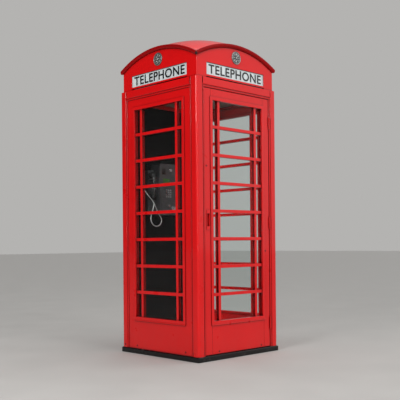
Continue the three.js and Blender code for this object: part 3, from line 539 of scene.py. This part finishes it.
def makeShell():
    easedPiece("base_plinth", bitumen, easing["casting"])
    easedPiece("floor_slab", concrete, easing["timber"])
    castings = ("door_frame", "back_frame", "back_panel", "side_frame_left", "side_frame_right", "door_pull")
    for node in castings:
        easedPiece(node, redIron, easing["casting"])
    for node in ("window_bars_left", "window_bars_right", "door_bars"):
        easedPiece(node, redBars, easing["bar"])
    for node in ("glass_retainer_left", "glass_retainer_right", "door_retainer"):
        easedPiece(node, redBars, easing["bar"])
    for node in ("door_hinge_stile", "door_latch_stile", "door_top_rail", "door_kick_panel"):
        easedPiece(node, redTimber, easing["timber"])
    for i in (1, 2, 3):
        easedPiece(f"frame_hinge_{i}", redIron, easing["fine"])
        easedPiece(f"door_hinge_{i}", redIron, easing["fine"])
    easedPiece("ceiling_panel", shadedCream, easing["casting"])
    easedPiece("backboard", boardEnamel, easing["casting"])
    for node in ("window_glass_left", "window_glass_right", "door_glass"):
        coverNode(node, clearGlass)
    for face in faceNames:
        coverNode("sign_glass_" + face, opalSign)


makeShell()
print("shell made")

# The domed roof: one casting with a coved cornice over four arches, a sign opening and a vent in each face.
roof = {
    "half": 0.432, "centre": 1.530, "domeRadius": 0.990, "wall": 0.012, "cells": 72,
    "archRadius": 0.866, "corniceRadius": 0.896, "corniceFront": 0.450, "corniceBack": 0.032,
    "fillet": 0.008, "topEdge": 0.0015, "arcSteps": 66, "coveSteps": 8, "edge": 0.001,
    "sign": (0.3255, 2.156, 2.2485), "vent": (0.328, 2.1403),
}


def makeDome():
    half = roof["half"]
    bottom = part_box("roof_casting")[0].z
    bm = bmesh.new()
    bmesh.ops.create_grid(bm, x_segments=roof["cells"], y_segments=roof["cells"], size=half)
    for vert in bm.verts:
        vert.co.z = roof["centre"] + math.sqrt(roof["domeRadius"] ** 2 - vert.co.x ** 2 - vert.co.y ** 2)
    rim = [e for e in bm.edges if e.is_boundary]
    skirt = bmesh.ops.extrude_edge_only(bm, edges=rim)["geom"]
    for vert in (v for v in skirt if isinstance(v, bmesh.types.BMVert)):
        vert.co.z = bottom
    signHalf, signLow, signHigh = roof["sign"]
    ventHalf, ventTop = roof["vent"]
    cuts = [((0, 0, z), (0, 0, 1)) for z in (ventTop, signLow, signHigh)]
    for place in (signHalf, ventHalf):
        cuts += [((side * place, 0, 0), (1, 0, 0)) for side in (-1, 1)]
        cuts += [((0, side * place, 0), (0, 1, 0)) for side in (-1, 1)]
    for point, normal in cuts:
        bmesh.ops.bisect_plane(bm, geom=bm.verts[:] + bm.edges[:] + bm.faces[:], dist=1e-6,
                               plane_co=point, plane_no=normal)
    bmesh.ops.recalc_face_normals(bm, faces=bm.faces)
    opened = []
    for face in bm.faces:
        middle = face.calc_center_median()
        across = min(abs(middle.x), abs(middle.y))
        onWall = max(abs(middle.x), abs(middle.y)) > half - 1e-4
        inSign = across < signHalf and signLow < middle.z < signHigh
        inVent = across < ventHalf and middle.z < ventTop
        if onWall and (inSign or inVent):
            opened.append(face)
    bmesh.ops.delete(bm, geom=opened, context="FACES")
    piece = finishPiece("roof_dome", bm, [redShadedAtVents], "booth", ["roof_casting"], smooth=40)
    piece.modifiers.clear()
    wall = piece.modifiers.new("wall", "SOLIDIFY")
    wall.thickness, wall.offset, wall.use_even_offset = roof["wall"], -1, True
    ease = piece.modifiers.new("eased edges", "BEVEL")
    ease.width, ease.segments = roof["edge"], 2
    ease.limit_method, ease.angle_limit = "ANGLE", math.radians(40)
    piece.modifiers.new("even normals", "WEIGHTED_NORMAL").keep_sharp = True


def makeCornice():
    # every arc of the moulding ends on the mitre, where it is as far along the wall as it stands out
    front, fascia = -roof["corniceFront"], -roof["half"]
    inner, outer = roof["archRadius"], roof["corniceRadius"]
    coveTop, edge, back = outer - roof["fillet"], roof["topEdge"], fascia + roof["corniceBack"]
    profile = [(back, inner), (fascia, inner)]
    for i in range(1, roof["coveSteps"] + 1):
        angle = math.radians(90 * i / roof["coveSteps"])
        rise = (coveTop - inner) * (1 - math.cos(angle))
        profile.append((fascia + (front - fascia) * math.sin(angle), inner + rise))
    nose = edge * 0.3
    profile += [(front, outer - edge), (front + nose, outer - nose), (front + edge, outer), (back, outer)]
    bm = bmesh.new()
    steps = roof["arcSteps"]
    for face in range(4):
        rows = []
        for i in range(steps + 1):
            rows.append([])
            for y, r in profile:
                angle = (2 * i / steps - 1) * math.asin(-y / r)
                spot = Vector((r * math.sin(angle), y, roof["centre"] + r * math.cos(angle)))
                rows[-1].append(bm.verts.new(quarterTurn(face) @ spot))
        for row, ahead in zip(rows, rows[1:]):
            for k in range(len(profile)):
                bm.faces.new((row[k - 1], row[k], ahead[k], ahead[k - 1]))
    # the cornice takes the darker red, as painted shade
    finishPiece("roof_cornice", bm, [corniceShadedRed], "booth", smooth=32)


makeDome()
makeCornice()

# A black plug where the two cornices over the near corner meet: painted shade in the hollow between their
# ends.
cornerShadowPlug = {"out": 0.4442, "z": 2.284, "radius": 0.0088, "drop": 0.015, "chamfer": 0.002}


def makeCornerShadowPlug():
    out, radius, drop = cornerShadowPlug["out"], cornerShadowPlug["radius"], cornerShadowPlug["drop"]
    bm = bmesh.new()
    chamfer = cornerShadowPlug["chamfer"]
    profile = [(0, 0), (radius, 0), (radius, -drop + chamfer), (radius - chamfer, -drop), (0, -drop)]
    addTurned(bm, profile, (-out, -out, cornerShadowPlug["z"] + drop), 20, (0, 0, 1))
    finishPiece("cornice_corner_plug", bm, [ironBlack], "booth", smooth=50)


makeCornerShadowPlug()
print("roof made")

sign = {"width": 0.598, "height": 0.071, "thick": 0.0006, "z": 2.2023, "y": -0.4262}


def makeSignLetters():
    for face, name in enumerate(faceNames):
        bm = bmesh.new()
        place = quarterTurn(face) @ Matrix.Translation((0, sign["y"], sign["z"]))
        textMesh(bm, "TELEPHONE", place, (sign["width"], sign["height"]), sign["thick"])
        finishPiece("sign_letters_" + name, bm, [letterBlack], "booth", settle=False)


# A plain cast rosette over each sign: a raised ring, a boss, and eight petals with small leaves between them.
rosette = {
    "z": 2.329, "y": -0.432, "radius": 0.050, "petals": 8,
    "petalAt": 0.0255, "petal": (0.0082, 0.0055, 0.0145), "leafAt": 0.035, "leaf": (0.0042, 0.0035, 0.006),
    "ground": -0.0025,
}


def makeRosettes():
    radius = rosette["radius"]
    for face, name in enumerate(faceNames):
        bm = bmesh.new()
        centre = Vector((0, rosette["y"] + 0.0003, rosette["z"]))
        ground = rosette["ground"]
        profile = [(0, 0), (radius, 0), (radius, -0.003), (radius - 0.001, -0.0045),
                   (radius - 0.004, -0.0055), (radius - 0.007, -0.0045),
                   (radius - 0.008, ground), (0, ground)]
        addTurned(bm, profile, centre, 48)
        boss = [(0.0125, -0.002), (0.012, -0.006), (0.009, -0.009), (0.0045, -0.0105), (0, -0.011)]
        addTurned(bm, boss, centre, 24)
        for i in range(rosette["petals"]):
            turn = Matrix.Translation(centre) @ Matrix.Rotation(math.tau * i / rosette["petals"], 4, "Y")
            petalAt = Matrix.Translation((0, ground, rosette["petalAt"]))
            bmesh.ops.create_uvsphere(bm, u_segments=14, v_segments=10, radius=1,
                                      matrix=turn @ petalAt @ Matrix.Diagonal((*rosette["petal"], 1)))
            between = Matrix.Rotation(math.pi / rosette["petals"], 4, "Y")
            leafAt = between @ Matrix.Translation((0, ground, rosette["leafAt"]))
            bmesh.ops.create_uvsphere(bm, u_segments=10, v_segments=8, radius=1,
                                      matrix=turn @ leafAt @ Matrix.Diagonal((*rosette["leaf"], 1)))
        bmesh.ops.transform(bm, matrix=quarterTurn(face), verts=bm.verts)
        finishPiece("rosette_" + name, bm, [silver], "booth", smooth=50)


makeSignLetters()
makeRosettes()
print("signs made")

# Small blackened screw heads along the foot and on the stiles: (face, across, up, body).
fixings = [
    ("front", -0.387, 0.064, "booth"), ("front", -0.224, 0.064, "door"), ("front", 0.259, 0.064, "door"),
    ("front", 0.387, 0.064, "booth"), ("front", -0.347, 1.465, "door"), ("front", 0.318, 0.819, "door"),
    ("left", -0.412, 0.064, "booth"), ("left", -0.27, 0.064, "booth"), ("left", 0.30, 0.064, "booth"),
    ("left", 0.386, 0.064, "booth"), ("right", -0.387, 0.064, "booth"), ("right", -0.25, 0.064, "booth"),
    ("right", 0.25, 0.064, "booth"), ("right", 0.387, 0.064, "booth"), ("back", -0.25, 0.064, "booth"),
    ("back", 0.25, 0.064, "booth"), ("back", -0.387, 0.064, "booth"), ("back", 0.387, 0.064, "booth"),
]
screw = {"radius": 0.0062, "proud": 0.0028, "sunk": 0.0005}
wallDepths = [(0.3705, -0.442), (0.396, -0.443), (0.450, -0.450)]  # how far out each part of a wall stands


def makeFixings():
    for i, (name, across, up, body) in enumerate(fixings):
        depth = next(y for reach, y in wallDepths if abs(across) < reach)
        bm = bmesh.new()
        r, proud = screw["radius"], screw["proud"]
        sunk = screw["sunk"]
        profile = [(0, sunk), (r, sunk), (r, -proud * 0.45), (r * 0.8, -proud * 0.8), (r * 0.4, -proud)]
        profile.append((0, -proud))
        addTurned(bm, profile, (across, depth, up), 20)
        bmesh.ops.transform(bm, matrix=quarterTurn(faceNames.index(name)), verts=bm.verts)
        finishPiece(f"fixing_screw_{i + 1}", bm, [ironBlack], body, smooth=50)


makeFixings()
print("fixings made")

phone = {
    "left": -0.165, "right": 0.036, "bottom": 1.130, "top": 1.557, "face": 0.2934,
    "screwRadius": 0.0032, "screwInset": 0.012, "bezel": 0.003, "bezelProud": 0.0016, "bezelEase": 0.0004,
    "keypadMargin": 0.006, "keypadFrame": 0.002, "keypadProud": 0.001, "sunk": 0.0002,
    "legend": 0.0072, "starLegend": 0.005, "legendThick": 0.0003,
}
legends = ["1", "2", "3", "4", "5", "6", "7", "8", "9", "*", "0", "#"]


def addFrame(bm, low, high, width, back, front):
    # a flat frame round a rectangle in x and z, from back to front along -y
    corners = [(low[0], low[1]), (high[0], low[1]), (high[0], high[1]), (low[0], high[1])]
    face = bm.faces.new([bm.verts.new((x, back, z)) for x, z in corners])
    rim = bmesh.ops.inset_region(bm, faces=[face], thickness=width, use_even_offset=True)["faces"]
    bmesh.ops.delete(bm, geom=[face], context="FACES_ONLY")
    grown = bmesh.ops.extrude_face_region(bm, geom=rim, use_keep_orig=True)["geom"]
    moved = [g for g in grown if isinstance(g, bmesh.types.BMVert)]
    bmesh.ops.translate(bm, verts=moved, vec=(0, front - back, 0))
    top = [g for g in grown if isinstance(g, bmesh.types.BMFace)]
    edges = list({e for f in top for e in f.edges if sum(x in top for x in e.link_faces) == 1})
    easeEdges(bm, edges, phone["bezelEase"])


def addScrew(bm, x, z, y, radius):
    # a pan head with a round recess
    profile = [(0, 0.0004), (radius, 0.0004), (radius, -0.0006), (radius * 0.8, -0.0014),
               (radius * 0.45, -0.0016), (radius * 0.4, -0.0004), (0, -0.0004)]
    addTurned(bm, profile, (x, y, z), 18)


def grownBox(node, margin):
    low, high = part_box(node)
    return (low.x - margin, low.z - margin), (high.x + margin, high.z + margin)


def makePhoneTrim():
    face, proud, behind = phone["face"], phone["bezelProud"], phone["face"] + phone["sunk"]
    bm = bmesh.new()
    for node, margin in (("display_window", 0.0045), ("coin_slot_plate", 0.004)):
        low, high = grownBox(node, margin)
        addFrame(bm, low, high, phone["bezel"], behind, face - proud)
    first, last = grownBox("key_10", phone["keypadMargin"]), grownBox("key_3", phone["keypadMargin"])
    addFrame(bm, first[0], last[1], phone["keypadFrame"], behind, face - phone["keypadProud"])
    inset = phone["screwInset"]
    for x in (phone["left"] + inset, phone["right"] - inset):
        for z in (phone["bottom"] + inset, phone["top"] - inset):
            addScrew(bm, x, z, face, phone["screwRadius"])
    low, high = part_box("release_button")
    middle = (low + high) / 2
    ring = [(0.0133, 0.0002), (0.0133, -0.0026), (0.0142, -0.0036), (0.0158, -0.0036),
            (0.0172, -0.0022), (0.0178, 0.0002)]
    addTurned(bm, ring, (middle.x, face, middle.z), 40)
    finishPiece("phone_trim", bm, [chrome], "booth", smooth=45)


def makeKeys():
    for i, legend in enumerate(legends):
        node = f"key_{i + 1}"
        low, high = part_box(node)
        bm = castingCopy(node, easing["fine"])
        place = Matrix.Translation(((low.x + high.x) / 2, low.y - 0.0001, (low.z + high.z) / 2))
        height = phone["starLegend"] if legend == "*" else phone["legend"]
        textMesh(bm, legend, place, (0, height), phone["legendThick"], 1)
        finishPiece(node + "_cap", bm, [satinSteel, letterBlack], node, [node], settle=False)


cashLock = {"inset": 0.016, "keyway": (0.0012, 0.0005, 0.007), "keywayDepth": 0.00155}


def makeCashLock():
    low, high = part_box("cash_door")
    middle = (low + high) / 2
    origin = (high.x - cashLock["inset"], low.y, middle.z)
    bm = bmesh.new()
    profile = [(0, 0.0004), (0.0085, 0.0004), (0.0085, -0.002), (0.0078, -0.0028), (0.0062, -0.0028),
               (0.006, -0.0015), (0, -0.0015)]
    addTurned(bm, profile, origin, 28)
    start = len(bm.faces)
    keywayPlace = Matrix.Translation(Vector(origin) - Vector((0, cashLock["keywayDepth"], 0)))
    bmesh.ops.create_cube(bm, size=1, matrix=keywayPlace @ Matrix.Diagonal((*cashLock["keyway"], 1)))
    bm.faces.ensure_lookup_table()
    for face in bm.faces[start:]:
        face.material_index = 1
    finishPiece("cash_door_lock", bm, [chrome, ironBlack], "cash_door", smooth=45)


def makePayphone():
    for node in ("phone_housing", "phone_front_plate", "handset_rest", "cash_door", "coin_box"):
        easedPiece(node, housingSteel, easing["steel"])
    easedPiece("coin_slot_plate", blackAbs, easing["fine"])
    for node in ("hook_lever", "release_button", "coin_return_flap"):
        easedPiece(node, satinSteel, easing["fine"])
    coverNode("display_window", lcd)
    makePhoneTrim()
    makeKeys()
    makeCashLock()


makePayphone()
print("payphone made")

# A bowed handle between two round caps, each cap moulded in two halves, with a ribbed strain relief.
handset = {
    "x": -0.2003, "back": 0.3624, "depth": 0.045, "ear": (1.457, 0.027), "mouth": (1.277, 0.026),
    "handleFront": 0.3174, "bow": 0.016, "wide": 0.0148, "thick": 0.013, "stations": 23,
    "reliefY": 0.331, "reliefFoot": 1.2270, "reliefTop": 1.2545, "ribs": 5, "ribDepth": 0.0007,
    "holeRings": ((0.0, 1), (0.0065, 6), (0.013, 12)), "holeRadius": 0.0012,
}


def addCap(bm, z, radius):
    depth = handset["depth"]
    profile = [(0, -0.0006), (radius * 0.74, -0.0006), (radius * 0.8, 0), (radius - 0.0035, 0),
               (radius - 0.001, -0.001), (radius, -0.0035), (radius, -0.019), (radius - 0.0007, -0.0197),
               (radius - 0.0007, -0.0207), (radius, -0.0214), (radius, -0.034), (radius - 0.0012, -0.0385),
               (radius - 0.004, -0.042), (radius - 0.009, -0.0443), (0, -depth)]
    addTurned(bm, profile, (handset["x"], handset["back"], z), 48)
    for ring, count in handset["holeRings"]:
        for i in range(count):
            angle = math.tau * i / count
            across, up = handset["x"] + ring * math.cos(angle), z + ring * math.sin(angle)
            spot = Matrix.Translation((across, handset["back"] - 0.0005, up))
            hole = bmesh.ops.create_circle(bm, cap_ends=True, segments=10, radius=handset["holeRadius"],
                                           matrix=spot @ Matrix.Rotation(-math.pi / 2, 4, "X"))["verts"]
            for face in {f for v in hole for f in v.link_faces}:
                face.material_index = 1


def makeHandset():
    bm = bmesh.new()
    low, high = handset["mouth"][0], handset["ear"][0]
    line, radii = [], []
    for i in range(handset["stations"]):
        t = 2 * i / (handset["stations"] - 1) - 1
        y = handset["handleFront"] + handset["thick"] + 0.002 - handset["bow"] * (1 - t * t)
        line.append(Vector((handset["x"], y, (low + high) / 2 + t * (high - low) / 2)))
        radii.append(1 + 0.12 * t ** 4)
    addTube(bm, line, radii, 28, (handset["wide"], handset["thick"]))
    addCap(bm, *handset["ear"])
    addCap(bm, *handset["mouth"])
    foot, top = handset["reliefFoot"], handset["reliefTop"]
    pitch = (top - 0.004 - foot) / handset["ribs"]
    profile = [(0, 0), (0.0047, 0)]
    for i in range(handset["ribs"]):
        radius = 0.0052 + 0.0018 * i / handset["ribs"]
        groove = radius - handset["ribDepth"]
        profile += [(radius, pitch * (i + 0.15)), (radius, pitch * (i + 0.62))]
        profile += [(groove, pitch * (i + 0.7)), (groove, pitch * (i + 0.98))]
    profile += [(0.0075, top - 0.003 - foot), (0.0075, top - foot), (0, top - foot)]
    addTurned(bm, profile, (handset["x"], handset["reliefY"], foot), 28, (0, 0, 1))
    finishes = [blackAbs, ironBlack]
    finishPiece("handset_moulding", bm, finishes, "handset", ["handset"], smooth=42)


makeHandset()
print("handset made")

lamp = {"radius": 0.130, "rim": 0.012, "drop": 0.045, "steps": 12}


def makeLamp():
    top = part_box("ceiling_lamp")[1].z
    radius, rim, drop = lamp["radius"], lamp["rim"], lamp["drop"]
    profile = [(0, 0), (radius - 0.004, 0), (radius - 0.001, 0.0012), (radius, 0.004),
               (radius, rim - 0.002), (radius - 0.004, rim)]
    for i in range(1, lamp["steps"] + 1):
        angle = math.radians(90 * i / lamp["steps"])
        profile.append(((radius - 0.006) * math.cos(angle), rim + (drop - rim) * math.sin(angle)))
    bm = bmesh.new()
    addTurned(bm, profile, (0, 0, top), 64, (0, 0, -1))
    finishPiece("ceiling_lamp_cover", bm, [opalLamp], "booth", ["ceiling_lamp"], smooth=45)


makeLamp()
print("lamp made")

studio = {
    "floorHalf": 60.0, "backdrop": "#b4b3b1", "overhead": 0.95, "overheadAngle": 70,
    "shade": 0.07, "bright": 1.0, "toward": (0.55, -0.62, 0.56),
}
softboxes = [
    # name, place, aimed at, width, height, watts
    ("key softbox", (-6.4, -1.6, 3.9), (-0.3, 0, 1.5), 2.2, 2.2, 240),
    ("front softbox", (-0.4, -6.0, 4.7), (0, -0.3, 1.9), 2.0, 2.0, 110),
    ("corner strip", (-5.7, -5.3, 2.3), (-0.4, -0.4, 1.4), 0.35, 3.4, 75),
]


def paleFloor():
    # matt painted studio floor: pale grey, a little mottled
    material, tree, place = startMaterial("pale floor paint")
    mottle = patches(tree, place, 500, 6, 0.35, 0.7)
    return finishMaterial(material, {
        "Base Color": layColours(tree, "#a7a5a2", (mottle, "#acaaa7")),
        "Roughness": addNode(tree, "ShaderNodeMapRange", {"Value": mottle, "To Min": 0.7, "To Max": 0.85}),
        "Specular IOR Level": 0.25,
    })


def makeStudio():
    bm = bmesh.new()
    bmesh.ops.create_grid(bm, x_segments=8, y_segments=8, size=studio["floorHalf"])
    floor = finishPiece("floor", bm, [paleFloor()], None)
    for name, place, target, width, height, watts in softboxes:
        data = bpy.data.lights.new(name, "AREA")
        data.shape, data.size, data.size_y, data.energy = "RECTANGLE", width, height, watts
        light = bpy.data.objects.new(name, data)
        light.location = place
        light.rotation_euler = (Vector(place) - Vector(target)).to_track_quat("Z", "Y").to_euler()
        sceneNow.collection.objects.link(light)
    overhead = bpy.data.lights.new("overhead diffuser", "SUN")
    overhead.energy, overhead.angle = studio["overhead"], math.radians(studio["overheadAngle"])
    sceneNow.collection.objects.link(bpy.data.objects.new("overhead diffuser", overhead))
    world = bpy.data.worlds.new("studio")
    world.use_nodes = True
    tree = world.node_tree
    tree.nodes.clear()
    direction = addNode(tree, "ShaderNodeTexCoord").outputs["Generated"]
    facing = {"operation": "DOT_PRODUCT", 0: direction, 1: studio["toward"]}
    lean = addNode(tree, "ShaderNodeVectorMath", facing).outputs["Value"]
    span = {"From Min": -0.1, "From Max": 0.9, "To Min": studio["shade"], "To Max": studio["bright"]}
    glow = addNode(tree, "ShaderNodeBackground", {
        "Color": addNode(tree, "ShaderNodeMapRange", {"Value": lean, **span}),
    })
    plain = addNode(tree, "ShaderNodeBackground", {"Color": toLinear(studio["backdrop"])})
    rays = addNode(tree, "ShaderNodeLightPath").outputs
    looking = {"operation": "MAXIMUM", 0: rays["Is Camera Ray"], 1: rays["Is Transmission Ray"]}
    seen = addNode(tree, "ShaderNodeMath", looking)
    mixed = addNode(tree, "ShaderNodeMixShader", {0: seen, 1: glow, 2: plain})
    addNode(tree, "ShaderNodeOutputWorld", {"Surface": mixed})
    sceneNow.world = world


makeStudio()
print("studio made")
